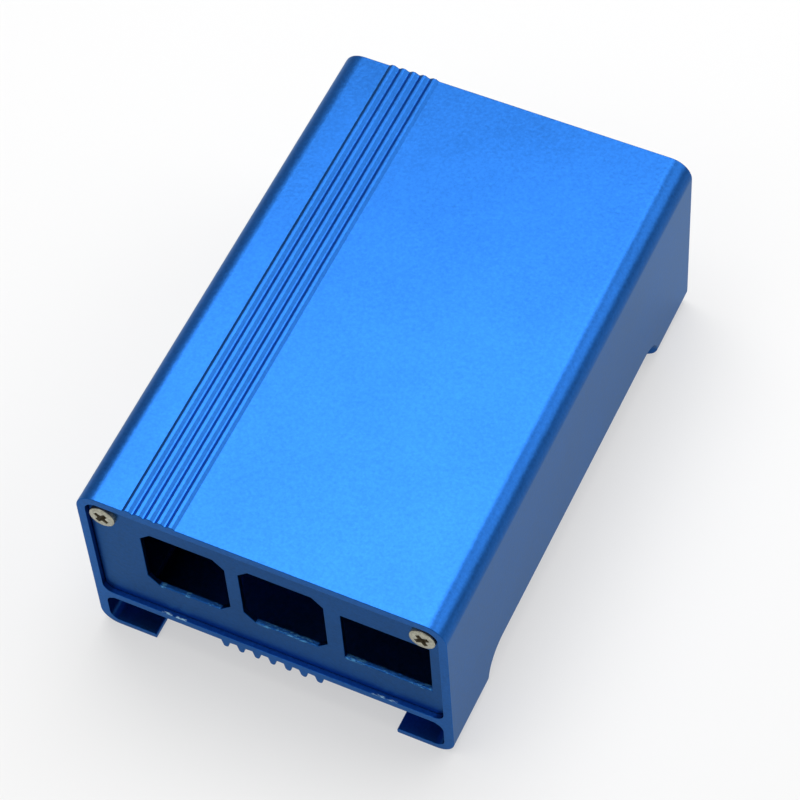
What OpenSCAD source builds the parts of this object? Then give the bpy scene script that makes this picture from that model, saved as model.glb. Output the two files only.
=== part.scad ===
// Case for a single-board computer: one extruded sleeve on rail feet, closed by two recessed end plates.
// Millimetres. X runs across the case, Y from the port end to the plain end, Z up.
// The origin lies on the ground, midway between the four feet.

/* [Sleeve] */
// Width over the two long sides
case_w = 67; // [63:0.5:90]
// Length from end to end
case_l = 102.4; // [92:0.2:160]
// Height of the closed tube, from the underside of its floor to its top face
tube_h = 31.2; // [29.8:0.2:50]
// Thickness of the tube's sides, top and floor
wall = 1.6; // [1.2:0.1:2.4]
// Outer radius of the two long top edges
top_r = 4; // [3:0.1:6]
// Radius of the two lower corners of the cavity
cavity_low_r = 2; // [1:0.1:3.5]

/* [Top ridges] */
// Number of ridges in the band along the top
ridge_count = 5; // [1:1:9]
// Spacing of the ridges
ridge_pitch = 2; // [1.6:0.1:3]
// Width of a ridge where it leaves the top face
ridge_base_w = 1.5; // [1:0.1:1.6]
// Width of a ridge along its crest
ridge_crest_w = 0.6; // [0.3:0.1:0.9]
// Height of a ridge above the top face
ridge_h = 0.4; // [0.2:0.05:0.8]
// From the left side to the middle of the first ridge
ridge_inset = 9.8; // [8:0.1:24]

/* [Rail feet] */
// Height of the floor's underside above the ground
foot_h = 8.6; // [7:0.1:14]
// Length of each of the four feet
foot_len = 14.2; // [10:0.1:24]
// Thickness of the rail's upright
rail_wall = 1.8; // [1.4:0.1:2.6]
// Thickness of the lip that turns inwards along the ground
lip_t = 1.2; // [0.8:0.1:2]
// From the outer side to the tip of the lip
lip_reach = 10.6; // [8:0.1:14]
// Rounding of the lip's tip
lip_tip_r = 0.3; // [0.1:0.05:0.35]
// Outer radius of the rail along the ground
rail_r = 3.4; // [2:0.1:4]
// Inner radius of the rail's channel
channel_r = 2; // [1:0.1:2.6]
// How far below the floor the cut between the feet stops
notch_land = 0.5; // [0.2:0.1:1.5]
// Radius of the two upper corners of the cut between the feet
notch_r = 6; // [2:0.5:7]

/* [Cooling ribs] */
// Number of ribs under the floor
rib_count = 7; // [2:1:9]
// Spacing of the ribs
rib_pitch = 2.95; // [2.4:0.05:4]
// Height of a rib below the floor
rib_h = 1.8; // [0.8:0.1:3]
// Width of a rib where it leaves the floor
rib_base_w = 1.6; // [1.4:0.1:2.2]
// Width of a rib at its rounded tip
rib_tip_w = 1; // [0.6:0.1:1.2]

/* [End plates] */
// Thickness of an end plate
plate_t = 1; // [0.8:0.1:2]
// Depth of a plate's outer face behind the end of the sleeve
plate_recess = 0.95; // [0.6:0.05:2.5]
// Gap between a plate and the sleeve all round
plate_gap = 0.1; // [0.05:0.05:0.3]

/* [Screws] */
// Diameter of the screw's shank
screw_d = 2.5; // [2:0.1:3]
// Length of the shank under the head
screw_len = 8; // [5:0.5:14]
// Chamfer at the shank's end
screw_tip = 0.4; // [0.2:0.1:0.8]
// Diameter of the pan head
head_d = 4.7; // [4.2:0.1:5.6]
// Height of the pan head
head_h = 0.95; // [0.8:0.05:1.6]
// Rounding of the pan head's rim
head_edge_r = 0.35; // [0.1:0.05:0.6]
// Length of each arm pair of the cross recess
cross_len = 2.5; // [1.8:0.1:3]
// Width of the cross recess
cross_w = 0.6; // [0.4:0.05:0.8]
// Depth of the cross recess
cross_depth = 0.7; // [0.3:0.05:0.8]
// Gap between the shank and the hole around it
screw_gap = 0.1; // [0.05:0.05:0.2]
// Gap between the head and the sleeve's side
head_room_side = 0.55; // [0.2:0.05:1.5]
// Gap between the head and the sleeve's top
head_room_top = 1.1; // [0.4:0.05:2]
// Metal around the bore of a screw channel
boss_wall = 1.25; // [0.8:0.05:1.6]
// Width of the slot that opens a screw channel towards the cavity
channel_slot_w = 1.3; // [0.8:0.1:1.8]

/* [Board seat] */
// Width of the board that slides in
board_w = 56; // [54:0.5:58]
// Length of the board
board_l = 85; // [70:1:86]
// Thickness of the board
board_t = 1.6; // [1:0.1:2]
// Height of the board's underside above the floor
board_lift = 5.9; // [3:0.1:7]
// Gap above and below the board in its guides
board_gap = 0.15; // [0.1:0.05:0.3]
// Gap between the board's edge and the right side
board_side_gap = 0.2; // [0.1:0.05:0.5]
// How far the sockets stand out past the end of the board
socket_overhang = 2.8; // [2:0.1:4]
// Thickness of a guide rib
guide_t = 1.4; // [1:0.1:2]
// How far the right guides stand out from the side
guide_reach = 2; // [1.2:0.1:3]
// How far the left shelf reaches under the board
shelf_overlap = 1.5; // [1:0.1:2.5]

/* [Port openings] */
// From the board's right edge to the middle of the network socket
network_inset = 9.95; // [9.5:0.05:11]
// From the second double socket to the network socket
network_pitch = 18.75; // [18:0.05:19.5]
// From the first double socket to the second
stack_pitch = 18; // [17:0.1:19]
// Width of a double socket opening
stack_w = 15.5; // [14.5:0.1:16]
// Height of a double socket opening
stack_h = 15.7; // [14:0.1:16.5]
// How much each corner of a double socket opening is cut off
stack_cut = 2; // [0.5:0.1:3]
// Width of the network opening
network_w = 15.9; // [15:0.1:16.5]
// Height of the network opening
network_h = 13.4; // [12:0.1:14]
// How far the openings reach below the board's top
sill_drop = 0.3; // [0:0.05:0.6]

/* [Side openings] */
// How far the side openings reach below the board's top
side_sill_drop = 1.5; // [0.5:0.1:1.6]
// From the board's plain end to the middle of the power opening
power_at = 11.2; // [9:0.1:12]
// Width of the power opening
power_w = 13; // [10:0.5:16]
// Height of the power opening
power_h = 7; // [5:0.5:9]
// From the board's plain end to the middle of the video opening
video_at = 32.75; // [32:0.05:34]
// Width of the video opening
video_w = 26; // [24:0.5:27]
// Height of the video opening
video_h = 8; // [6:0.5:9]
// Corner radius of the power and video openings
side_r = 1.5; // [0.5:0.1:2.4]
// From the board's plain end to the middle of the audio opening
audio_at = 54; // [52:0.1:56]
// Diameter of the audio opening
audio_d = 8; // [6:0.2:9]

/* [Hidden] */
$fn = 72;
// Cutters run this far past the faces they open
cut_margin = 1;
// Ribs and bosses are rooted this deep in the sleeve's wall
root_depth = 0.3;

top_z = foot_h + tube_h;
half_w = case_w / 2;
half_l = case_l / 2;
cavity_z0 = foot_h + wall;
cavity_z1 = top_z - wall;
cavity_top_r = top_r - wall;
notch_z = foot_h - notch_land;
seat_depth = plate_recess + plate_t;

screw_x = half_w - wall - head_d / 2 - head_room_side;
screw_z = top_z - wall - head_d / 2 - head_room_top;
bore_r = screw_d / 2 + screw_gap;
boss_r = bore_r + boss_wall;

board_x1 = half_w - wall - board_side_gap;
board_x0 = board_x1 - board_w;
board_z0 = cavity_z0 + board_lift;
board_z1 = board_z0 + board_t;
board_end_y = -half_l + plate_recess + socket_overhang + board_l;
guide_top_z = board_z0 - board_gap;

sill_z = board_z1 - sill_drop;
network_x = board_x1 - network_inset;
stack_xs = [network_x - network_pitch - stack_pitch, network_x - network_pitch];
side_sill_z = board_z1 - side_sill_drop;

anodised = [0.13, 0.44, 0.88];
nickel = [0.70, 0.68, 0.63];

// Stretches a section drawn in X and Z from one Y to another
module along_y(y0, y1) {
    translate([0, y1, 0])
        rotate([90, 0, 0])
            linear_extrude(y1 - y0)
                children();
}

// Stretches an outline drawn in Y and Z from one X to another
module along_x(x0, x1) {
    translate([x0, 0, 0])
        rotate([90, 0, 90])
            linear_extrude(x1 - x0)
                children();
}

// What a rounding of radius r takes off a corner whose solid lies towards (sx, sz)
module corner_cut(x, z, sx, sz, r) {
    reach = r + cut_margin;
    shift = (r - cut_margin) / 2;
    difference() {
        translate([x + sx * shift, z + sz * shift])
            square(reach, center = true);
        translate([x + sx * r, z + sz * r])
            circle(r);
    }
}

// Rectangle with one radius on its lower corners and one on its upper corners
module rounded_rect(x0, x1, z0, z1, r_low, r_top) {
    difference() {
        translate([x0, z0])
            square([x1 - x0, z1 - z0]);
        corner_cut(x0, z0, 1, 1, r_low);
        corner_cut(x1, z0, -1, 1, r_low);
        corner_cut(x0, z1, 1, -1, r_top);
        corner_cut(x1, z1, -1, -1, r_top);
    }
}

// Rectangle with its four corners cut off at 45 degrees
module cut_rect(x0, x1, z0, z1, cut) {
    polygon([
        [x0 + cut, z0],
        [x1 - cut, z0],
        [x1, z0 + cut],
        [x1, z1 - cut],
        [x1 - cut, z1],
        [x0 + cut, z1],
        [x0, z1 - cut],
        [x0, z0 + cut]
    ]);
}

// The tube's hollow, made smaller all round by gap
module cavity_outline(gap) {
    x = half_w - wall - gap;
    rounded_rect(-x, x, cavity_z0 + gap, cavity_z1 - gap, cavity_low_r - gap, cavity_top_r - gap);
}

// One ridge of the band along the top, tapered towards its crest
module ridge_outline(x) {
    polygon([
        [x - ridge_base_w / 2, top_z - root_depth],
        [x + ridge_base_w / 2, top_z - root_depth],
        [x + ridge_base_w / 2, top_z],
        [x + ridge_crest_w / 2, top_z + ridge_h],
        [x - ridge_crest_w / 2, top_z + ridge_h],
        [x - ridge_base_w / 2, top_z]
    ]);
}

// The space under the floor between the two uprights, with the mouth between the lips
module underside_outline() {
    channel_x = half_w - rail_wall;
    tip_x = half_w - lip_reach;
    rounded_rect(-channel_x, channel_x, lip_t, foot_h, channel_r, channel_r);
    translate([-tip_x, -cut_margin])
        square([2 * tip_x, lip_t + 2 * cut_margin]);
    for (side = [-1, 1]) {
        corner_cut(side * tip_x, 0, side, 1, lip_tip_r);
        corner_cut(side * tip_x, lip_t, side, -1, lip_tip_r);
    }
}

// One cooling rib hanging from the floor, with a round tip
module rib_outline(x) {
    tip_r = rib_tip_w / 2;
    tip_z = foot_h - rib_h + tip_r;
    polygon([
        [x - rib_base_w / 2, foot_h],
        [x - rib_base_w / 2, foot_h + root_depth],
        [x + rib_base_w / 2, foot_h + root_depth],
        [x + rib_base_w / 2, foot_h],
        [x + tip_r, tip_z],
        [x - tip_r, tip_z]
    ]);
    translate([x, tip_z])
        circle(tip_r);
}

// Section of the sleeve that runs its whole length
module skin_section() {
    difference() {
        rounded_rect(-half_w, half_w, 0, top_z, rail_r, top_r);
        cavity_outline(0);
        underside_outline();
    }
    for (i = [0 : ridge_count - 1])
        ridge_outline(-half_w + ridge_inset + i * ridge_pitch);
    for (i = [0 : rib_count - 1])
        rib_outline((i - (rib_count - 1) / 2) * rib_pitch);
}

// Screw channel in an upper corner: a bore in a boss, slotted towards the cavity
module screw_channel_outline(side) {
    inner_x = screw_x - boss_r;
    low_z = screw_z - boss_r;
    mirror([side < 0 ? 1 : 0, 0])
        difference() {
            translate([inner_x, low_z])
                square([half_w - inner_x, top_z - low_z]);
            corner_cut(inner_x, low_z, 1, 1, boss_r);
            translate([screw_x, screw_z]) {
                circle(bore_r);
                rotate(225)
                    translate([0, -channel_slot_w / 2])
                        square([boss_r + cut_margin, channel_slot_w]);
            }
        }
}

// A rib from the wall inwards, with its underside at z
module guide_outline(x0, x1, z) {
    translate([x0, z])
        square([x1 - x0, guide_t]);
}

// Section of what stands inside the tube and ends where the plates seat
module seat_section() {
    guide_x = half_w - wall - guide_reach;
    intersection() {
        union() {
            for (side = [-1, 1])
                screw_channel_outline(side);
            guide_outline(-half_w, board_x0 + shelf_overlap, guide_top_z - guide_t);
            guide_outline(guide_x, half_w, guide_top_z - guide_t);
            guide_outline(guide_x, half_w, board_z1 + board_gap);
        }
        cavity_outline(-root_depth);
    }
}

// Cut that parts each rail into a front and a rear foot
module rail_notch(side) {
    notch_y = half_l - foot_len;
    inner_x = half_w - lip_reach - cut_margin;
    outer_x = half_w + cut_margin;
    along_x(side < 0 ? -outer_x : inner_x, side < 0 ? -inner_x : outer_x)
        rounded_rect(-notch_y, notch_y, -2 * notch_r, notch_z, notch_r, notch_r);
}

// Openings in the left side for the sockets on the board's long edge
module side_openings() {
    along_x(-half_w - cut_margin, -half_w + wall + cut_margin) {
        side_window(board_end_y - power_at, power_w, power_h);
        side_window(board_end_y - video_at, video_w, video_h);
        translate([board_end_y - audio_at, side_sill_z + audio_d / 2])
            circle(d = audio_d);
    }
}

// Outline of one side opening with round corners, centred on y and standing on the sockets' sill
module side_window(y, w, h) {
    rounded_rect(y - w / 2, y + w / 2, side_sill_z, side_sill_z + h, side_r, side_r);
}

// Outline of an end plate with its two screw holes
module plate_outline() {
    difference() {
        cavity_outline(plate_gap);
        for (side = [-1, 1])
            translate([side * screw_x, screw_z])
                circle(bore_r);
    }
}

// Two double socket openings and the network opening, all on one sill
module port_openings() {
    for (x = stack_xs)
        cut_rect(x - stack_w / 2, x + stack_w / 2, sill_z, sill_z + stack_h, stack_cut);
    translate([network_x - network_w / 2, sill_z])
        square([network_w, network_h]);
}

// Pan head screw standing on Z, with the underside of its head at the origin
module pan_screw() {
    difference() {
        rotate_extrude() {
            difference() {
                square([head_d / 2, head_h]);
                corner_cut(head_d / 2, head_h, -1, -1, head_edge_r);
            }
            polygon([
                [0, -screw_len],
                [screw_d / 2 - screw_tip, -screw_len],
                [screw_d / 2, -screw_len + screw_tip],
                [screw_d / 2, 0],
                [0, 0]
            ]);
        }
        for (turn = [45, 135])
            rotate(turn)
                translate([-cross_len / 2, -cross_w / 2, head_h - cross_depth])
                    cube([cross_len, cross_w, cross_depth + cut_margin]);
    }
}

module sleeve() {
    color(anodised)
        difference() {
            union() {
                along_y(-half_l, half_l)
                    skin_section();
                along_y(-half_l + seat_depth, half_l - seat_depth)
                    seat_section();
            }
            for (side = [-1, 1])
                rail_notch(side);
            side_openings();
        }
}

module front_plate() {
    color(anodised)
        along_y(-half_l + plate_recess, -half_l + seat_depth)
            difference() {
                plate_outline();
                port_openings();
            }
}

module rear_plate() {
    color(anodised)
        along_y(half_l - seat_depth, half_l - plate_recess)
            plate_outline();
}

module end_plate_screws() {
    face_y = half_l - plate_recess;
    color(nickel)
        for (side = [-1, 1], end = [-1, 1])
            translate([side * screw_x, end * face_y, screw_z])
                rotate([-90 * end, 0, 0])
                    pan_screw();
}

sleeve();
front_plate();
rear_plate();
end_plate_screws();
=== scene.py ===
"""Looks of a blue anodised case for a single-board computer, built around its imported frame.

Lengths are metres in the frame's own axes: X across the case, Y from the socket end to the plain end, Z up.
"""

import math
from random import Random

import bmesh
import bpy
from bpy.props import FloatProperty, FloatVectorProperty, IntProperty, PointerProperty
from mathutils import Matrix, Vector


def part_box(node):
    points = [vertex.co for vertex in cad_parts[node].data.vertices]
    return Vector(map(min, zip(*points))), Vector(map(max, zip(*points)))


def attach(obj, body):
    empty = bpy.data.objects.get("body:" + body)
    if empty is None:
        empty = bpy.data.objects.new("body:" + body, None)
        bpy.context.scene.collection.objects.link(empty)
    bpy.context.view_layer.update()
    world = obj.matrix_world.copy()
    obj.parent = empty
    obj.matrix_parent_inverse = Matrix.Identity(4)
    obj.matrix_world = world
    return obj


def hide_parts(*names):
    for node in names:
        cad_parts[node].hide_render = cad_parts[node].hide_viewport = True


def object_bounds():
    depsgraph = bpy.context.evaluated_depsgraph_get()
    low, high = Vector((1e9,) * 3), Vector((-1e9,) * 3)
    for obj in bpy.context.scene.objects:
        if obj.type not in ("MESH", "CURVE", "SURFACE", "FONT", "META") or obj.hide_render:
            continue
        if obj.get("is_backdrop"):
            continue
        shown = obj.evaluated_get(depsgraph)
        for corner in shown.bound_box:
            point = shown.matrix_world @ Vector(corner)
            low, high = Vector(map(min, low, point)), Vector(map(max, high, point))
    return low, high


bl_info = {
    "name": "Single-board computer case",
    "version": (1, 0, 0),
    "blender": (4, 5, 0),
    "location": "View3D > Sidebar > Case",
    "description": "Dresses the case's sleeve, end plates and screws, and sets its studio",
    "category": "Object",
}

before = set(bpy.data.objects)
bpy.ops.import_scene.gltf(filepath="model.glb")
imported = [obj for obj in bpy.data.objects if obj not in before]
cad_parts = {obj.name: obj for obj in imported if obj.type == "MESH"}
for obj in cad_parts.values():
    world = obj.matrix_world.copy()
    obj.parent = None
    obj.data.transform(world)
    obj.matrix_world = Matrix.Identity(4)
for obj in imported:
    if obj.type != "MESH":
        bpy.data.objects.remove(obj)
CAD_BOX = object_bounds()

MM = 0.001
BODY = "root"

SLEEVE_LOW, SLEEVE_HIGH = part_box("sleeve")
PLATE_LOW, PLATE_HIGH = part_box("front_plate")
SCREWS_LOW, SCREWS_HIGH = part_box("end_plate_screws")
HEAD_DIAMETER = SCREWS_HIGH.z - SCREWS_LOW.z
HEAD_HEIGHT = PLATE_LOW.y - SCREWS_LOW.y
SCREW_X = SCREWS_HIGH.x - HEAD_DIAMETER / 2
SCREW_Z = (SCREWS_LOW.z + SCREWS_HIGH.z) / 2
PLATE_GAP = 0.1 * MM
FLOOR_TOP = PLATE_LOW.z - PLATE_GAP

MERGE_DISTANCE = 0.002 * MM
FLAT_ANGLE = math.radians(0.5)
# Angles from which an edge is rounded, and from which an outer or inner edge stays a crease in the shading
SHARP_ANGLE = math.radians(28)
CREASE_ANGLE = math.radians(32)
INNER_CREASE_ANGLE = math.radians(18)
# How strongly wide faces draw the normals at their edges
FLAT_WEIGHT = 100
# Least Z in the normal of a face that looks up
LOOKS_UP = 0.99

# Worn stretches of each socket opening's sill, left to right: from and to as shares of its width, share worn
SILL_WEAR = (
    ((0.02, 0.10, 0.56), (0.42, 0.50, 0.56), (0.78, 1.0, 0.44)),
    ((0.0, 1.0, 0.5),),
    ((0.0, 0.24, 0.54), (0.24, 0.7, 0.44), (0.7, 1.0, 0.48)),
)
# Scuffs on the floor's front edge: from and to across the case, share worn
LIP_WEAR = ((-20.9 * MM, -18.6 * MM, 0.6), (-18.2 * MM, -16.0 * MM, 0.66), (18.4 * MM, 23.6 * MM, 0.57))
# Half depth and half height of both kinds of worn box, and how softly their flecks end
SILL_WEAR_REACH = (0.8 * MM, 0.4 * MM)
SILL_WEAR_SOFTNESS = 0.08
LIP_WEAR_REACH = (0.2 * MM, 0.5 * MM)
LIP_WEAR_SOFTNESS = 0.25
# Share of a worn box's half size beyond which its wear fades
WEAR_FADE = 0.7

# Chips on the sills: seed of their draws, and sideways drift of their corners as a share of their spacing
CHIP_SEED = 4
CHIP_DRIFT = 0.3

# Each screw's side and end of the case, and the turn of its recess
SCREW_PLACES = {
    "front_left_screw": (-1, -1, math.radians(51)),
    "front_right_screw": (1, -1, math.radians(33)),
    "rear_left_screw": (-1, 1, math.radians(12)),
    "rear_right_screw": (1, 1, math.radians(68)),
}
# Half width of the recess's middle as a share of its arms', and facets across its rounded mouth
RECESS_CORE = 1.25
RECESS_EDGE_STEPS = 2

# Noises of the blasted grain, of the clouds in its tone and of the worn flecks
GRAIN_NOISE = {"Detail": 2.0, "Roughness": 0.6}
CLOUD_NOISE = {"Detail": 3.0}
CLOUD_SHARE = 0.35
FLECK_NOISE = {"Detail": 3.0, "Roughness": 0.65}
FLECK_STRETCH = (0.3, 1, 1)

# How the metals' tone, roughness and bump follow their grain, with scales as counts per metre
ANODISED_GRAIN = {"cloud_scale": 60, "rough_spread": 0.05, "bump": 0.6}
SCREW_GRAIN = {
    "scale": 1 / (0.45 * MM),
    "cloud_scale": 1 / (0.8 * MM),
    "rough_spread": 0.1,
    "bump": 0.4,
    "depth": 0.01 * MM,
}
NICKEL_SPREAD = 0.95
# Look of the recess's dark film, which is partly grime and partly painted shade
GRIME_AND_SHADE_SPREAD = 0.5
GRIME_AND_SHADE_ROUGHNESS = 0.6
GRIME_AND_SHADE_METALLIC = 0.3

# Sockets of the Mix node for numbers and for colours: its two inputs and its output
MIX_SOCKETS = {"FLOAT": (2, 3, 0), "RGBA": (6, 7, 2)}

PAPER_ROUGHNESS = 0.9
SENSOR_MM = 36
CAMERA_CLIP = (0.01, 20)


class CaseFinishSettings(bpy.types.PropertyGroup):
    """Colours and textures of the case's surfaces."""

    blue: FloatVectorProperty(
        name="Anodised blue",
        description="Reflected colour of the dyed aluminium",
        subtype="COLOR",
        size=3,
        min=0,
        max=1,
        default=(0.0135, 0.092, 0.335),
    )
    # Partly a darker dye on the end plates, partly painted shade of the recess they sit in
    plate_dye_and_shade: FloatProperty(
        name="Plate shade",
        description="Strength of the end plates' colour beside the sleeve's",
        subtype="FACTOR",
        min=0,
        max=1,
        default=0.68,
    )
    # Painted light: the milled sills' dye is lifted above the sleeve's to stand in for the light their rough
    # faces catch
    sill_painted_light: FloatProperty(
        name="Sill shade",
        description="Strength of the milled sills' colour beside the sleeve's",
        min=0,
        max=3,
        default=1.4,
    )
    sill_roughness: FloatProperty(
        name="Sill roughness",
        description="Roughness of the milled sills",
        subtype="FACTOR",
        min=0,
        max=1,
        default=0.6,
    )
    edge_tint: FloatVectorProperty(
        name="Grazing tint",
        description="Tint of the dyed aluminium seen at a low angle",
        subtype="COLOR",
        size=3,
        min=0,
        max=1,
        default=(0.66, 0.76, 0.785),
    )
    roughness: FloatProperty(
        name="Roughness",
        description="Roughness of the bead blasted surface",
        subtype="FACTOR",
        min=0,
        max=1,
        default=0.34,
    )
    grain_size: FloatProperty(
        name="Grain size",
        description="Width of a dimple left by the blasting beads",
        unit="LENGTH",
        default=0.58 * MM,
    )
    grain_depth: FloatProperty(
        name="Grain depth",
        description="Depth of a dimple left by the blasting beads",
        unit="LENGTH",
        default=0.025 * MM,
    )
    tone_spread: FloatProperty(
        name="Tone spread",
        description="How far the dye's tone varies from grain to grain",
        subtype="FACTOR",
        min=0,
        max=1,
        default=0.45,
    )
    edge_break: FloatProperty(
        name="Edge break",
        description="Width of the rounding on the metal's sharp edges",
        unit="LENGTH",
        default=0.14 * MM,
    )
    end_break: FloatProperty(
        name="End break",
        description="Width of the rounding round the outside of the sleeve's two ends",
        unit="LENGTH",
        default=0.14 * MM,
    )
    inner_break: FloatProperty(
        name="Inner break",
        description="Width of the rounding round the openings of the sleeve's two ends",
        unit="LENGTH",
        default=0.06 * MM,
    )
    ridge_foot: FloatProperty(
        name="Ridge foot",
        description="How far the feet of the top's ridges run out",
        unit="LENGTH",
        default=0.12 * MM,
    )
    edge_steps: IntProperty(
        name="Edge steps",
        description="Facets across each rounded edge",
        min=1,
        max=6,
        default=3,
    )


class CaseWearSettings(bpy.types.PropertyGroup):
    """Chips and scuffs where sockets and boards have rubbed the dye off."""

    bare_metal: FloatVectorProperty(
        name="Bare metal",
        description="Aluminium where the dye is gone",
        subtype="COLOR",
        size=3,
        min=0,
        max=1,
        default=(0.62, 0.92, 1.0),
    )
    thin_dye: FloatVectorProperty(
        name="Thin dye",
        description="Aluminium where little of the dye is left",
        subtype="COLOR",
        size=3,
        min=0,
        max=1,
        default=(0.10, 0.34, 0.62),
    )
    worn_roughness: FloatProperty(
        name="Worn roughness",
        description="Roughness where the dye is worn",
        subtype="FACTOR",
        min=0,
        max=1,
        default=0.65,
    )
    fleck_size: FloatProperty(
        name="Fleck size",
        description="Width of a fleck of bare metal",
        unit="LENGTH",
        default=0.3 * MM,
    )
    chip_spacing: FloatProperty(
        name="Chip spacing",
        description="Spacing of the chips along the sills of the socket openings",
        unit="LENGTH",
        default=0.22 * MM,
    )
    chip_depth: FloatProperty(
        name="Chip depth",
        description="How far a chip rises or sinks at most",
        unit="LENGTH",
        default=0.06 * MM,
    )


class CaseScrewSettings(bpy.types.PropertyGroup):
    """Sizes and colours of the pan head screws."""

    recess_length: FloatProperty(
        name="Recess length",
        description="Length of each arm pair of the cross recess",
        unit="LENGTH",
        default=2.8 * MM,
    )
    recess_width: FloatProperty(
        name="Recess width",
        description="Width of an arm of the cross recess",
        unit="LENGTH",
        default=0.75 * MM,
    )
    arm_depth: FloatProperty(
        name="Arm depth",
        description="Depth of the cross recess at the tips of its arms",
        unit="LENGTH",
        default=0.4 * MM,
    )
    core_depth: FloatProperty(
        name="Core depth",
        description="Depth of the cross recess in its middle",
        unit="LENGTH",
        default=0.85 * MM,
    )
    recess_taper: FloatProperty(
        name="Recess taper",
        description="Size of the recess at its floor as a share of its mouth",
        subtype="FACTOR",
        min=0.3,
        max=1,
        default=0.8,
    )
    recess_edge: FloatProperty(
        name="Recess edge",
        description="Rounding round the mouth of the recess",
        unit="LENGTH",
        default=0.07 * MM,
    )
    rim_drop: FloatProperty(
        name="Rim drop",
        description="How far the head's rounded rim falls away from its face",
        unit="LENGTH",
        default=0.25 * MM,
    )
    rim_steps: IntProperty(
        name="Rim steps",
        description="Facets across the head's rounded rim",
        min=2,
        max=12,
        default=7,
    )
    turn_steps: IntProperty(
        name="Turn steps",
        description="Facets round the screw",
        min=12,
        max=96,
        default=48,
    )
    shank_diameter: FloatProperty(
        name="Shank diameter",
        description="Diameter of the shank",
        unit="LENGTH",
        default=2.5 * MM,
    )
    shank_length: FloatProperty(
        name="Shank length",
        description="Length of the shank under the head",
        unit="LENGTH",
        default=8 * MM,
    )
    tip_chamfer: FloatProperty(
        name="Tip chamfer",
        description="Chamfer at the shank's end",
        unit="LENGTH",
        default=0.4 * MM,
    )
    nickel: FloatVectorProperty(
        name="Nickel",
        description="Colour of the screws' plating",
        subtype="COLOR",
        size=3,
        min=0,
        max=1,
        default=(0.37, 0.365, 0.295),
    )
    # Partly grime and partly painted shade: the dark film on the recess's walls and floor stands in for its
    # shade too
    recess_film_and_shade: FloatVectorProperty(
        name="Recess grime",
        description="Colour of the dark film in the cross recess",
        subtype="COLOR",
        size=3,
        min=0,
        max=1,
        default=(0.075, 0.058, 0.03),
    )
    roughness: FloatProperty(
        name="Roughness",
        description="Roughness of the plating",
        subtype="FACTOR",
        min=0,
        max=1,
        default=0.36,
    )


class CaseStageSettings(bpy.types.PropertyGroup):
    """Camera, light and floor."""

    azimuth: FloatProperty(
        name="Azimuth",
        description="Camera's turn round the case, from looking along +Y",
        subtype="ANGLE",
        default=math.radians(29.163),
    )
    elevation: FloatProperty(
        name="Elevation",
        description="Camera's height above the horizon",
        subtype="ANGLE",
        default=math.radians(55.486),
    )
    roll: FloatProperty(
        name="Roll",
        description="Camera's tilt about its own line of sight",
        subtype="ANGLE",
        default=math.radians(-4.88),
    )
    distance: FloatProperty(
        name="Distance",
        description="From the camera to the plane of the case's origin",
        unit="LENGTH",
        default=576.729 * MM,
    )
    framing: FloatVectorProperty(
        name="Framing",
        description="Place of the case's origin right of and above the picture's centre",
        size=2,
        unit="LENGTH",
        default=(0.59 * MM, -9.657 * MM),
    )
    focal_length: FloatProperty(
        name="Focal length",
        description="Lens on a sensor 36 mm wide, in millimetres",
        unit="CAMERA",
        default=145.62,
    )
    floor_colour: FloatVectorProperty(
        name="Floor",
        description="Colour of the plain floor",
        subtype="COLOR",
        size=3,
        min=0,
        max=1,
        default=(0.66, 0.66, 0.66),
    )
    floor_lift: FloatProperty(
        name="Floor lift",
        description="How far the floor is lifted to white where it is seen",
        subtype="FACTOR",
        min=0,
        max=1,
        default=0.5,
    )
    floor_width: FloatProperty(
        name="Floor width",
        description="Side of the square floor",
        unit="LENGTH",
        default=8.0,
    )
    key_power: FloatProperty(
        name="Key power",
        description="Power of the soft light above the case, in watts",
        unit="POWER",
        default=4.75,
    )
    key_size: FloatVectorProperty(
        name="Key size",
        description="Width and depth of the soft light above the case",
        size=2,
        unit="LENGTH",
        default=(0.55, 0.56),
    )
    key_place: FloatVectorProperty(
        name="Key place",
        description="Centre of the soft light above the case",
        size=3,
        subtype="TRANSLATION",
        default=(-0.085, 0.145, 0.62),
    )
    side_power: FloatProperty(
        name="Side power",
        description="Power of the wide dim light on the right, in watts",
        unit="POWER",
        default=2.1,
    )
    side_size: FloatVectorProperty(
        name="Side size",
        description="Width and height of the wide dim light on the right",
        size=2,
        unit="LENGTH",
        default=(0.7, 0.5),
    )
    side_place: FloatVectorProperty(
        name="Side place",
        description="Centre of the wide dim light on the right",
        size=3,
        subtype="TRANSLATION",
        default=(0.54, 0.42, 0.53),
    )
    fill_power: FloatProperty(
        name="Fill power",
        description="Power of the dim light in front, in watts",
        unit="POWER",
        default=1.0,
    )
    fill_size: FloatVectorProperty(
        name="Fill size",
        description="Width and height of the dim light in front",
        size=2,
        unit="LENGTH",
        default=(0.6, 0.5),
    )
    fill_place: FloatVectorProperty(
        name="Fill place",
        description="Centre of the dim light in front",
        size=3,
        subtype="TRANSLATION",
        default=(-0.22, -0.40, 0.66),
    )
    ambient: FloatProperty(
        name="Ambient",
        description="Level of the even light from all round",
        min=0,
        default=0.3,
    )
    walls: FloatProperty(
        name="Walls",
        description="Level of the white walls that the metal mirrors",
        min=0,
        default=0.55,
    )


def add_object(name, bm, *materials):
    """Turns a bmesh into a named object in the scene."""
    mesh = bpy.data.meshes.new(name)
    bm.to_mesh(mesh)
    bm.free()
    for material in materials:
        mesh.materials.append(material)
    obj = bpy.data.objects.new(name, mesh)
    bpy.context.scene.collection.objects.link(obj)
    return obj


def add_piece(name, bm, *materials):
    """Turns a bmesh into a named piece that rides on the case."""
    piece = add_object(name, bm, *materials)
    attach(piece, BODY)
    keep_faces_flat(piece)
    return piece


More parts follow.
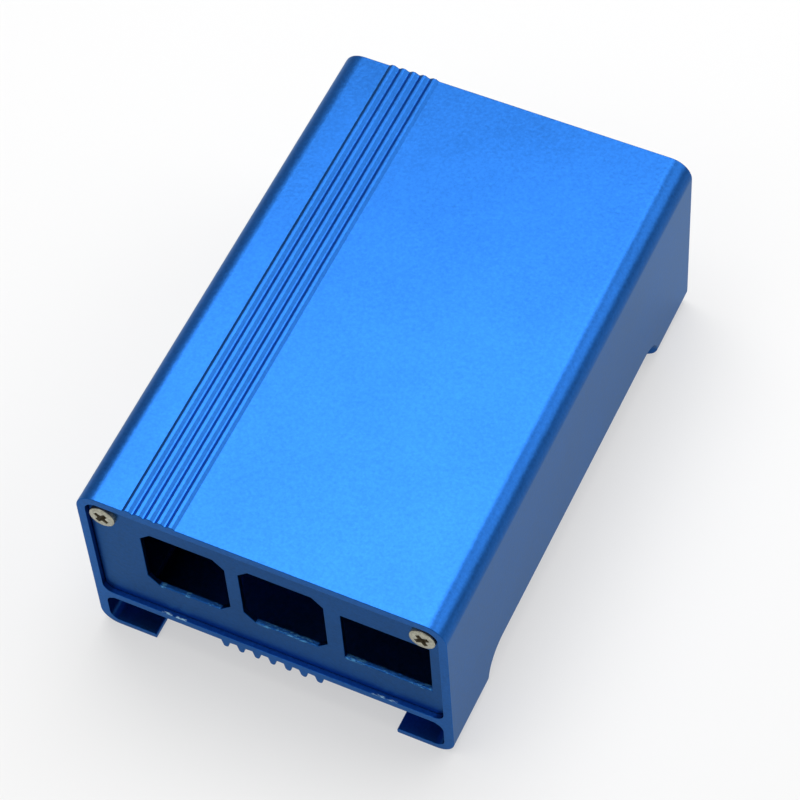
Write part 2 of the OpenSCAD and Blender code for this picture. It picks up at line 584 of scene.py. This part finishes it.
def keep_faces_flat(piece):
    """Smooth shading that leaves the wide faces flat."""
    piece.data.shade_smooth()
    bm = bmesh.new()
    bm.from_mesh(piece.data)
    for e in bm.edges:
        crease = CREASE_ANGLE if e.is_convex else INNER_CREASE_ANGLE
        e.smooth = not e.is_manifold or e.calc_face_angle() < crease
    bm.to_mesh(piece.data)
    bm.free()
    weighted = piece.modifiers.new("flat_faces", "WEIGHTED_NORMAL")
    weighted.mode = "FACE_AREA"
    weighted.weight = FLAT_WEIGHT
    weighted.keep_sharp = True


def merged_copy(node):
    """A node's shape with its loose triangles merged into whole faces."""
    bm = bmesh.new()
    bm.from_mesh(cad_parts[node].data)
    bmesh.ops.remove_doubles(bm, verts=bm.verts, dist=MERGE_DISTANCE)
    bmesh.ops.dissolve_limit(bm, angle_limit=FLAT_ANGLE, verts=bm.verts, edges=bm.edges)
    return bm


def at_end(verts):
    """Whether all of these corners lie in one of the sleeve's two end planes."""
    return all(abs(abs(v.co.y) - SLEEVE_HIGH.y) < MERGE_DISTANCE for v in verts)


def faces_inwards(edge):
    """Whether an edge of an end face bounds one of its openings."""
    wall = min(edge.link_faces, key=lambda f: abs(f.normal.y))
    middle = (SLEEVE_LOW + SLEEVE_HIGH) / 2
    return (edge.verts[0].co - middle).dot(wall.normal) < 0


def part_end_faces(bm):
    """Splits the sleeve's two ring-shaped end faces in the middle, so that each half has one outline."""
    ends = [f for f in bm.faces if at_end(f.verts)]
    geom = dict.fromkeys(g for f in ends for g in (f, *f.edges, *f.verts))
    bmesh.ops.bisect_plane(bm, geom=list(geom), plane_co=(0, 0, 0), plane_no=(1, 0, 0))


def run_out_ridges(bm, width):
    """Widens the feet of the ridges on the top, as an extrusion die leaves them."""
    for e in bm.edges:
        foot, crest = sorted((v.co for v in e.verts), key=lambda co: co.z)
        if crest.z - foot.z > MERGE_DISTANCE and SLEEVE_HIGH.z - crest.z < MERGE_DISTANCE:
            foot.x += math.copysign(width, foot.x - crest.x)


def sharp_edges(bm):
    """The outer edges at which two faces meet at a clear angle."""
    return [e for e in bm.edges if e.is_manifold and e.is_convex and e.calc_face_angle() > SHARP_ANGLE]


def break_edges(bm, edges, width, steps, clamp=False):
    """Rounds sharp edges, as blasting and tumbling leave them."""
    bmesh.ops.bevel(
        bm,
        geom=edges,
        offset=width,
        offset_type="OFFSET",
        segments=steps,
        profile=0.5,
        affect="EDGES",
        clamp_overlap=clamp,
        material=-1,
    )


def find_sills(bm):
    """The upward faces at the foot of the socket openings, from left to right."""
    middle = (PLATE_LOW.z + PLATE_HIGH.z) / 2
    sills = [f for f in bm.faces if f.normal.z > LOOKS_UP and f.calc_center_median().z < middle]
    return sorted(sills, key=lambda f: f.calc_center_median().x)


def chip_sill(bm, sill, wear, dice):
    """Breaks a sill's smooth face into small uneven chips."""
    centre = sill.calc_center_median()
    corners = [v.co.copy() for v in sill.verts]
    geom = [sill, *sill.edges, *sill.verts]
    for axis in (0, 1):
        low = min(c[axis] for c in corners)
        high = max(c[axis] for c in corners)
        count = round((high - low) / wear.chip_spacing)
        normal = Vector((axis == 0, axis == 1, 0))
        for i in range(1, count):
            centre[axis] = low + (high - low) * i / count
            geom = bmesh.ops.bisect_plane(bm, geom=geom, plane_co=centre, plane_no=normal)["geom"]
    chips = {g for g in geom if isinstance(g, bmesh.types.BMFace)}
    sideways = CHIP_DRIFT * wear.chip_spacing
    for v in geom:
        if isinstance(v, bmesh.types.BMVert) and chips.issuperset(v.link_faces):
            v.co.x += sideways * dice.uniform(-1, 1)
            v.co.y += sideways * dice.uniform(-1, 1)
            v.co.z += wear.chip_depth * dice.uniform(-1, 1)
    # The chips take the second material, whose lighter dye is painted light on the milled sills
    for f in chips:
        f.material_index = 1


def screw_blank(look, face_radius):
    """A screw standing on Z, with the underside of its head at the origin and the flat of its face open."""
    radius = HEAD_DIAMETER / 2
    shank = look.shank_diameter / 2
    outline = []
    for i in range(look.rim_steps + 1):
        a = math.radians(90 * i / look.rim_steps)
        r = face_radius + (radius - face_radius) * math.sin(a)
        outline.append((r, HEAD_HEIGHT - look.rim_drop * (1 - math.cos(a))))
    outline += [
        (radius, 0),
        (shank, 0),
        (shank, look.tip_chamfer - look.shank_length),
        (shank - look.tip_chamfer, -look.shank_length),
        (0, -look.shank_length),
    ]
    bm = bmesh.new()
    verts = [bm.verts.new((r, 0, z)) for r, z in outline]
    edges = [bm.edges.new(pair) for pair in zip(verts, verts[1:])]
    bmesh.ops.spin(
        bm,
        geom=verts + edges,
        cent=(0, 0, 0),
        axis=(0, 0, 1),
        angle=math.tau,
        steps=look.turn_steps,
        use_merge=True,
    )
    bmesh.ops.remove_doubles(bm, verts=bm.verts, dist=MERGE_DISTANCE)
    return bm


def sink_recess(bm, look, turn):
    """Closes the open face of a screw's head round a tapered cross recess that is turned about Z."""
    arm = look.recess_length / 2
    half = look.recess_width / 2
    core = RECESS_CORE * half
    ring = [e for e in bm.edges if e.is_boundary]
    corners = []
    for quarter in range(4):
        turned = Matrix.Rotation(turn + math.radians(90 * quarter), 3, "Z")
        for x, y in ((arm, -half), (arm, half), (core, core)):
            corners.append(bm.verts.new(turned @ Vector((x, y, HEAD_HEIGHT))))
    mouth = [bm.edges.new((corners[i - 1], corners[i])) for i in range(len(corners))]
    bmesh.ops.triangle_fill(bm, edges=ring + mouth, use_beauty=True)
    sunk = bmesh.ops.extrude_edge_only(bm, edges=mouth)["geom"]
    floor_verts = {g for g in sunk if isinstance(g, bmesh.types.BMVert)}
    floor_edges = [g for g in sunk if isinstance(g, bmesh.types.BMEdge) and floor_verts.issuperset(g.verts)]
    for v in floor_verts:
        in_core = v.co.xy.length < (arm + core) / 2
        v.co.z -= look.core_depth if in_core else look.arm_depth
        v.co.xy *= look.recess_taper
    bmesh.ops.triangle_fill(bm, edges=floor_edges, use_beauty=True)
    # The recess's walls and floor take the dark film, which is partly grime and partly painted shade
    for f in bm.faces:
        f.material_index = int(not floor_verts.isdisjoint(f.verts))
    break_edges(bm, mouth, look.recess_edge, RECESS_EDGE_STEPS, clamp=True)


def pan_head_screw(look, turn):
    """A screw standing on Z, with the underside of its head at the origin and its recess turned about Z."""
    reach = math.hypot(look.recess_length / 2, look.recess_width / 2)
    bm = screw_blank(look, reach + 2 * look.recess_edge)
    sink_recess(bm, look, turn)
    bmesh.ops.recalc_face_normals(bm, faces=bm.faces)
    return bm


def opaque(colour, strength=1):
    """A colour times a strength, as shader sockets take it."""
    return (*(strength * c for c in colour), 1)


def feed(tree, node, inputs):
    """Links a node's inputs to outputs, or sets them to plain values."""
    for key, value in inputs.items():
        if isinstance(value, bpy.types.NodeSocket):
            tree.links.new(value, node.inputs[key])
        else:
            node.inputs[key].default_value = value


def add_node(tree, kind, inputs, **settings):
    """The outputs of a new shader node with these settings and inputs."""
    node = tree.nodes.new(kind)
    for key, value in settings.items():
        setattr(node, key, value)
    feed(tree, node, inputs)
    return node.outputs


def add_math(tree, operation, *values):
    """The result of a calculation with numbers."""
    return add_node(tree, "ShaderNodeMath", dict(enumerate(values)), operation=operation)[0]


def add_vector_math(tree, operation, *values):
    """The result of a calculation with vectors."""
    return add_node(tree, "ShaderNodeVectorMath", dict(enumerate(values)), operation=operation)[0]


def add_noise(tree, place, scale, look):
    """Noise of a scale and look at a place."""
    inputs = {"Vector": place, "Scale": scale, **look}
    return add_node(tree, "ShaderNodeTexNoise", inputs, noise_dimensions="3D")["Fac"]


def add_mix(tree, kind, share, first, second):
    """A number or a colour between two others."""
    a, b, result = MIX_SOCKETS[kind]
    return add_node(tree, "ShaderNodeMix", {"Factor": share, a: first, b: second}, data_type=kind)[result]


def add_smooth_step(tree, value, low, high):
    """A smooth rise from 0 to 1 as a value goes from low to high."""
    inputs = {"Value": value, "From Min": low, "From Max": high}
    return add_node(tree, "ShaderNodeMapRange", inputs, interpolation_type="SMOOTHSTEP")["Result"]


def new_group(name, inputs, outputs):
    """An empty shader node group with named sockets, the values given to it and its end."""
    group = bpy.data.node_groups.new(name, "ShaderNodeTree")
    for in_out, sockets in (("INPUT", inputs), ("OUTPUT", outputs)):
        for label, kind in sockets.items():
            group.interface.new_socket(label, in_out=in_out, socket_type=kind)
    return group, group.nodes.new("NodeGroupInput").outputs, group.nodes.new("NodeGroupOutput")


def blasted_grain_group():
    """Dimples of bead blasting: a height for bump and a tone that lightens or darkens the dye."""
    group, given, end = new_group(
        "blasted_grain",
        {"Vector": "NodeSocketVector", "Grain Scale": "NodeSocketFloat", "Cloud Scale": "NodeSocketFloat"},
        {"Height": "NodeSocketFloat", "Tone": "NodeSocketFloat"},
    )
    fine = add_noise(group, given["Vector"], given["Grain Scale"], GRAIN_NOISE)
    cloud = add_noise(group, given["Vector"], given["Cloud Scale"], CLOUD_NOISE)
    feed(group, end, {"Height": fine, "Tone": add_mix(group, "FLOAT", CLOUD_SHARE, fine, cloud)})
    return group


def worn_zone_group():
    """Flecks of bare metal inside a box, broken up by noise and drawn out along X."""
    group, given, end = new_group(
        "worn_zone",
        {
            "Vector": "NodeSocketVector",
            "Centre": "NodeSocketVector",
            "Half Size": "NodeSocketVector",
            "Fleck Scale": "NodeSocketFloat",
            "Cover": "NodeSocketFloat",
            "Softness": "NodeSocketFloat",
        },
        {"Mask": "NodeSocketFloat"},
    )
    offset = add_vector_math(group, "SUBTRACT", given["Vector"], given["Centre"])
    away = add_vector_math(group, "DIVIDE", add_vector_math(group, "ABSOLUTE", offset), given["Half Size"])
    parts = add_node(group, "ShaderNodeSeparateXYZ", {0: away})
    furthest = add_math(group, "MAXIMUM", add_math(group, "MAXIMUM", parts["X"], parts["Y"]), parts["Z"])
    inside = add_smooth_step(group, furthest, 1, WEAR_FADE)
    drawn_out = add_vector_math(group, "MULTIPLY", given["Vector"], FLECK_STRETCH)
    flecks = add_noise(group, drawn_out, given["Fleck Scale"], FLECK_NOISE)
    dyed = add_math(group, "SUBTRACT", 1, given["Cover"])
    bare = add_smooth_step(group, flecks, dyed, add_math(group, "ADD", dyed, given["Softness"]))
    feed(group, end, {"Mask": add_math(group, "MULTIPLY", inside, bare)})
    return group


def add_group(tree, build, name, inputs):
    """The outputs of a shared node group, which is built the first time it is asked for."""
    group = bpy.data.node_groups.get(name) or build()
    return add_node(tree, "ShaderNodeGroup", inputs, node_tree=group)


def add_grain(tree, place, colour, roughness, *, scale, cloud_scale, tone_spread, rough_spread, bump, depth):
    """A metal's colour, roughness and normal, which follow a fine grain."""
    inputs = {"Vector": place, "Grain Scale": scale, "Cloud Scale": cloud_scale}
    grain = add_group(tree, blasted_grain_group, "blasted_grain", inputs)
    dark, light = opaque(colour, 1 - tone_spread), opaque(colour, 1 + tone_spread)
    tone = add_mix(tree, "RGBA", grain["Tone"], dark, light)
    inputs = {"Value": grain["Tone"], "To Min": roughness - rough_spread, "To Max": roughness + rough_spread}
    dullness = add_node(tree, "ShaderNodeMapRange", inputs)["Result"]
    inputs = {"Height": grain["Height"], "Strength": bump, "Distance": depth}
    return tone, dullness, add_node(tree, "ShaderNodeBump", inputs)["Normal"]


def new_material(name):
    """A material, its node tree and its main shader."""
    material = bpy.data.materials.new(name)
    material.use_nodes = True
    return material, material.node_tree, material.node_tree.nodes["Principled BSDF"]


def anodised_material(name, shade, roughness, worn_zones, worn_colour):
    """Blue anodised, bead blasted aluminium, with boxes in which worn flecks show.

    Each worn zone is its centre, its half size, the share of it that is worn and the softness of its flecks.
    """
    finish = bpy.context.scene.case_finish
    wear = bpy.context.scene.case_wear
    material, tree, shader = new_material(name)
    place = add_node(tree, "ShaderNodeTexCoord", {})["Object"]
    # The shade scales the dye: for the end plates it is partly painted shade, for the milled sills it is
    # painted light
    colour, dullness, normal = add_grain(
        tree,
        place,
        [shade * c for c in finish.blue],
        roughness,
        scale=1 / finish.grain_size,
        tone_spread=finish.tone_spread,
        depth=finish.grain_depth,
        **ANODISED_GRAIN,
    )
    worn = None
    for centre, half_size, cover, softness in worn_zones:
        inputs = {
            "Vector": place,
            "Centre": centre,
            "Half Size": half_size,
            "Fleck Scale": 1 / wear.fleck_size,
            "Cover": cover,
            "Softness": softness,
        }
        mask = add_group(tree, worn_zone_group, "worn_zone", inputs)["Mask"]
        worn = mask if worn is None else add_math(tree, "MAXIMUM", worn, mask)
    if worn is not None:
        colour = add_mix(tree, "RGBA", worn, colour, opaque(worn_colour))
        dullness = add_mix(tree, "FLOAT", worn, dullness, wear.worn_roughness)
    feed(tree, shader, {
        "Base Color": colour,
        "Roughness": dullness,
        "Normal": normal,
        "Metallic": 1,
        "Specular Tint": opaque(finish.edge_tint),
    })
    return material


def screw_material(name, colour, roughness, tone_spread, metallic):
    """A screw's plating, or the film on it, whose tone is uneven."""
    material, tree, shader = new_material(name)
    place = add_node(tree, "ShaderNodeTexCoord", {})["Object"]
    tone, dullness, normal = add_grain(tree, place, colour, roughness, tone_spread=tone_spread, **SCREW_GRAIN)
    feed(tree, shader, {"Base Color": tone, "Roughness": dullness, "Normal": normal, "Metallic": metallic})
    return material


def seen_rays(tree):
    """A mask of the rays by which eyes, mirrors and glass see a surface."""
    path = add_node(tree, "ShaderNodeLightPath", {})
    seen = add_math(tree, "MAXIMUM", path["Is Camera Ray"], path["Is Glossy Ray"])
    return add_math(tree, "MAXIMUM", seen, path["Is Transmission Ray"])


def end_with_blend(tree, output, share, first, second):
    """Ends a node tree in a blend of two shaders."""
    blend = add_node(tree, "ShaderNodeMixShader", {"Fac": share, 1: first, 2: second})
    feed(tree, tree.nodes[output], {"Surface": blend["Shader"]})


def lip_zones():
    """Worn boxes along the front edge of the floor."""
    half_depth, half_height = LIP_WEAR_REACH
    for start, stop, cover in LIP_WEAR:
        centre = Vector(((start + stop) / 2, SLEEVE_LOW.y + half_depth, FLOOR_TOP))
        yield centre, Vector(((stop - start) / 2, half_depth, half_height)), cover, LIP_WEAR_SOFTNESS


def sill_zones(sills):
    """Worn boxes along the sills of the socket openings."""
    for sill, stretches in zip(sills, SILL_WEAR):
        low = min(v.co.x for v in sill.verts)
        width = max(v.co.x for v in sill.verts) - low
        middle = sill.calc_center_median()
        for start, stop, cover in stretches:
            centre = Vector((low + width * (start + stop) / 2, middle.y, middle.z))
            yield centre, Vector((width * (stop - start) / 2, *SILL_WEAR_REACH)), cover, SILL_WEAR_SOFTNESS


class CASE_OT_dress_sleeve(bpy.types.Operator):
    """Make the extruded sleeve with broken edges and its blasted blue finish"""

    bl_idname = "case.dress_sleeve"
    bl_label = "Sleeve"

    def execute(self, context):
        finish = context.scene.case_finish
        wear = context.scene.case_wear
        bm = merged_copy("sleeve")
        run_out_ridges(bm, finish.ridge_foot)
        part_end_faces(bm)
        outer, inner, along = [], [], []
        for e in sharp_edges(bm):
            if not at_end(e.verts):
                along.append(e)
            elif faces_inwards(e):
                inner.append(e)
            else:
                outer.append(e)
        breaks = ((outer, finish.end_break), (inner, finish.inner_break), (along, finish.edge_break))
        for edges, width in breaks:
            break_edges(bm, [e for e in edges if e.is_valid], width, finish.edge_steps)
        metal = anodised_material("anodised_sleeve", 1, finish.roughness, lip_zones(), wear.bare_metal)
        sleeve = add_piece("extruded_sleeve", bm, metal)
        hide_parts("sleeve")
        return {"FINISHED"}


class CASE_OT_dress_plates(bpy.types.Operator):
    """Make the two end plates, the front one with chipped sills"""

    bl_idname = "case.dress_plates"
    bl_label = "End plates"

    def execute(self, context):
        finish = context.scene.case_finish
        wear = context.scene.case_wear
        dice = Random(CHIP_SEED)
        for node, name in (("front_plate", "socket_plate"), ("rear_plate", "plain_plate")):
            bm = merged_copy(node)
            break_edges(bm, sharp_edges(bm), finish.edge_break, finish.edge_steps)
            sills = find_sills(bm)
            worn = (list(sill_zones(sills)), wear.thin_dye)
            for sill in sills:
                chip_sill(bm, sill, wear, dice)
            # The plates' copy of the dye is darker, partly painted shade; the milled sills' copy is lighter,
            # painted light
            metal = anodised_material("anodised_" + node, finish.plate_dye_and_shade, finish.roughness, *worn)
            milled = anodised_material("milled_" + node, finish.sill_painted_light, finish.sill_roughness, *worn)
            plate = add_piece(name, bm, metal, milled)
            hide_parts(node)
        return {"FINISHED"}


class CASE_OT_dress_screws(bpy.types.Operator):
    """Make the four pan head screws"""

    bl_idname = "case.dress_screws"
    bl_label = "Screws"

    def execute(self, context):
        look = context.scene.case_screw
        plating = screw_material("nickel_plating", look.nickel, look.roughness, NICKEL_SPREAD, 1)
        # The recess's dark film is partly grime and partly painted shade
        grime_and_shade = screw_material("recess_grime", look.recess_film_and_shade, GRIME_AND_SHADE_ROUGHNESS, GRIME_AND_SHADE_SPREAD, GRIME_AND_SHADE_METALLIC)
        for name, (side, end, turn) in SCREW_PLACES.items():
            bm = pan_head_screw(look, turn)
            place = Matrix.Translation((side * SCREW_X, -end * PLATE_LOW.y, SCREW_Z))
            facing = Matrix.Rotation(math.radians(-90 * end), 4, "X")
            bmesh.ops.transform(bm, matrix=place @ facing, verts=bm.verts)
            screw = add_piece(name, bm, plating, grime_and_shade)
            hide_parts("end_plate_screws")
        return {"FINISHED"}


class CASE_OT_set_stage(bpy.types.Operator):
    """Set the floor, the lights and the camera"""

    bl_idname = "case.set_stage"
    bl_label = "Stage"

    def execute(self, context):
        scene = context.scene
        self.lay_floor(scene.case_stage)
        self.hang_lights(scene, scene.case_stage)
        scene.world = self.studio(scene.case_stage)
        self.place_camera(scene, scene.case_stage)
        scene.view_settings.view_transform = "Standard"
        return {"FINISHED"}

    def lay_floor(self, stage):
        """Lays a plain square of paper under the case."""
        bm = bmesh.new()
        bmesh.ops.create_grid(bm, x_segments=1, y_segments=1, size=stage.floor_width / 2)
        floor = add_object("floor", bm, self.paper(stage))
        floor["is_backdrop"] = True

    def paper(self, stage):
        """Plain paper that eyes and mirrors see with its shadow lightened."""
        material, tree, shader = new_material("floor_paper")
        feed(tree, shader, {
            "Base Color": opaque(stage.floor_colour),
            "Roughness": PAPER_ROUGHNESS,
            "Specular IOR Level": 0,
        })
        white = add_node(tree, "ShaderNodeEmission", {"Strength": 1})
        share = add_math(tree, "MULTIPLY", seen_rays(tree), stage.floor_lift)
        end_with_blend(tree, "Material Output", share, shader.outputs["BSDF"], white["Emission"])
        return material

    def hang_lights(self, scene, stage):
        """Hangs three softboxes that face the case."""
        for name, place, size, power in (
            ("key_softbox", stage.key_place, stage.key_size, stage.key_power),
            ("side_softbox", stage.side_place, stage.side_size, stage.side_power),
            ("fill_softbox", stage.fill_place, stage.fill_size, stage.fill_power),
        ):
            lamp = bpy.data.lights.new(name, "AREA")
            lamp.shape = "RECTANGLE"
            lamp.size, lamp.size_y = size
            lamp.energy = power
            softbox = bpy.data.objects.new(name, lamp)
            scene.collection.objects.link(softbox)
            softbox.location = place
            softbox.rotation_mode = "QUATERNION"
            softbox.rotation_quaternion = (-Vector(place)).to_track_quat("-Z", "Y")

    def studio(self, stage):
        """Even light all round, in which eyes and mirrors see white walls."""
        world = bpy.data.worlds.new("studio")
        world.use_nodes = True
        tree = world.node_tree
        light = tree.nodes["Background"]
        feed(tree, light, {"Color": (stage.ambient, stage.ambient, stage.ambient, 1)})
        walls = add_node(tree, "ShaderNodeBackground", {"Color": (stage.walls, stage.walls, stage.walls, 1)})
        shaders = (light.outputs["Background"], walls["Background"])
        end_with_blend(tree, "World Output", seen_rays(tree), *shaders)
        return world

    def place_camera(self, scene, stage):
        """Places the camera by its turn round the case, its height, its tilt and its distance."""
        back = Vector((
            math.sin(stage.azimuth) * math.cos(stage.elevation),
            -math.cos(stage.azimuth) * math.cos(stage.elevation),
            math.sin(stage.elevation),
        ))
        level_right = (-back).cross(Vector((0, 0, 1))).normalized()
        level_up = level_right.cross(-back)
        right = math.cos(stage.roll) * level_right + math.sin(stage.roll) * level_up
        up = math.cos(stage.roll) * level_up - math.sin(stage.roll) * level_right
        lens = bpy.data.cameras.new("camera")
        lens.lens = stage.focal_length
        lens.sensor_width = SENSOR_MM
        lens.clip_start, lens.clip_end = CAMERA_CLIP
        camera = bpy.data.objects.new("camera", lens)
        scene.collection.objects.link(camera)
        place = back * stage.distance - right * stage.framing[0] - up * stage.framing[1]
        turn = Matrix((right, up, back)).transposed().to_4x4()
        camera.matrix_world = Matrix.Translation(place) @ turn
        scene.camera = camera


class CASE_PT_panel(bpy.types.Panel):
    """Steps that dress the case and set its studio"""

    bl_idname = "CASE_PT_panel"
    bl_label = "Single-board computer case"
    bl_space_type = "VIEW_3D"
    bl_region_type = "UI"
    bl_category = "Case"

    def draw(self, context):
        for group in SETTINGS:
            settings = getattr(context.scene, group)
            box = self.layout.box()
            for name in settings.__annotations__:
                box.prop(settings, name)
        for operator in OPERATORS:
            self.layout.operator(operator.bl_idname)


OPERATORS = (CASE_OT_dress_sleeve, CASE_OT_dress_plates, CASE_OT_dress_screws, CASE_OT_set_stage)
SETTINGS = {
    "case_finish": CaseFinishSettings,
    "case_wear": CaseWearSettings,
    "case_screw": CaseScrewSettings,
    "case_stage": CaseStageSettings,
}


def register():
    for cls in (*SETTINGS.values(), *OPERATORS, CASE_PT_panel):
        bpy.utils.register_class(cls)
    for name, cls in SETTINGS.items():
        setattr(bpy.types.Scene, name, PointerProperty(type=cls))


def unregister():
    for name in SETTINGS:
        delattr(bpy.types.Scene, name)
    for cls in reversed((*SETTINGS.values(), *OPERATORS, CASE_PT_panel)):
        bpy.utils.unregister_class(cls)


def main():
    register()
    bpy.ops.case.dress_sleeve()
    bpy.ops.case.dress_plates()
    bpy.ops.case.dress_screws()
    bpy.ops.case.set_stage()
    boxes = {"cad": CAD_BOX, "visual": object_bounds()}
    {name: [list(corner) for corner in box] for name, box in boxes.items()}


if __name__ == "__main__":
    main()
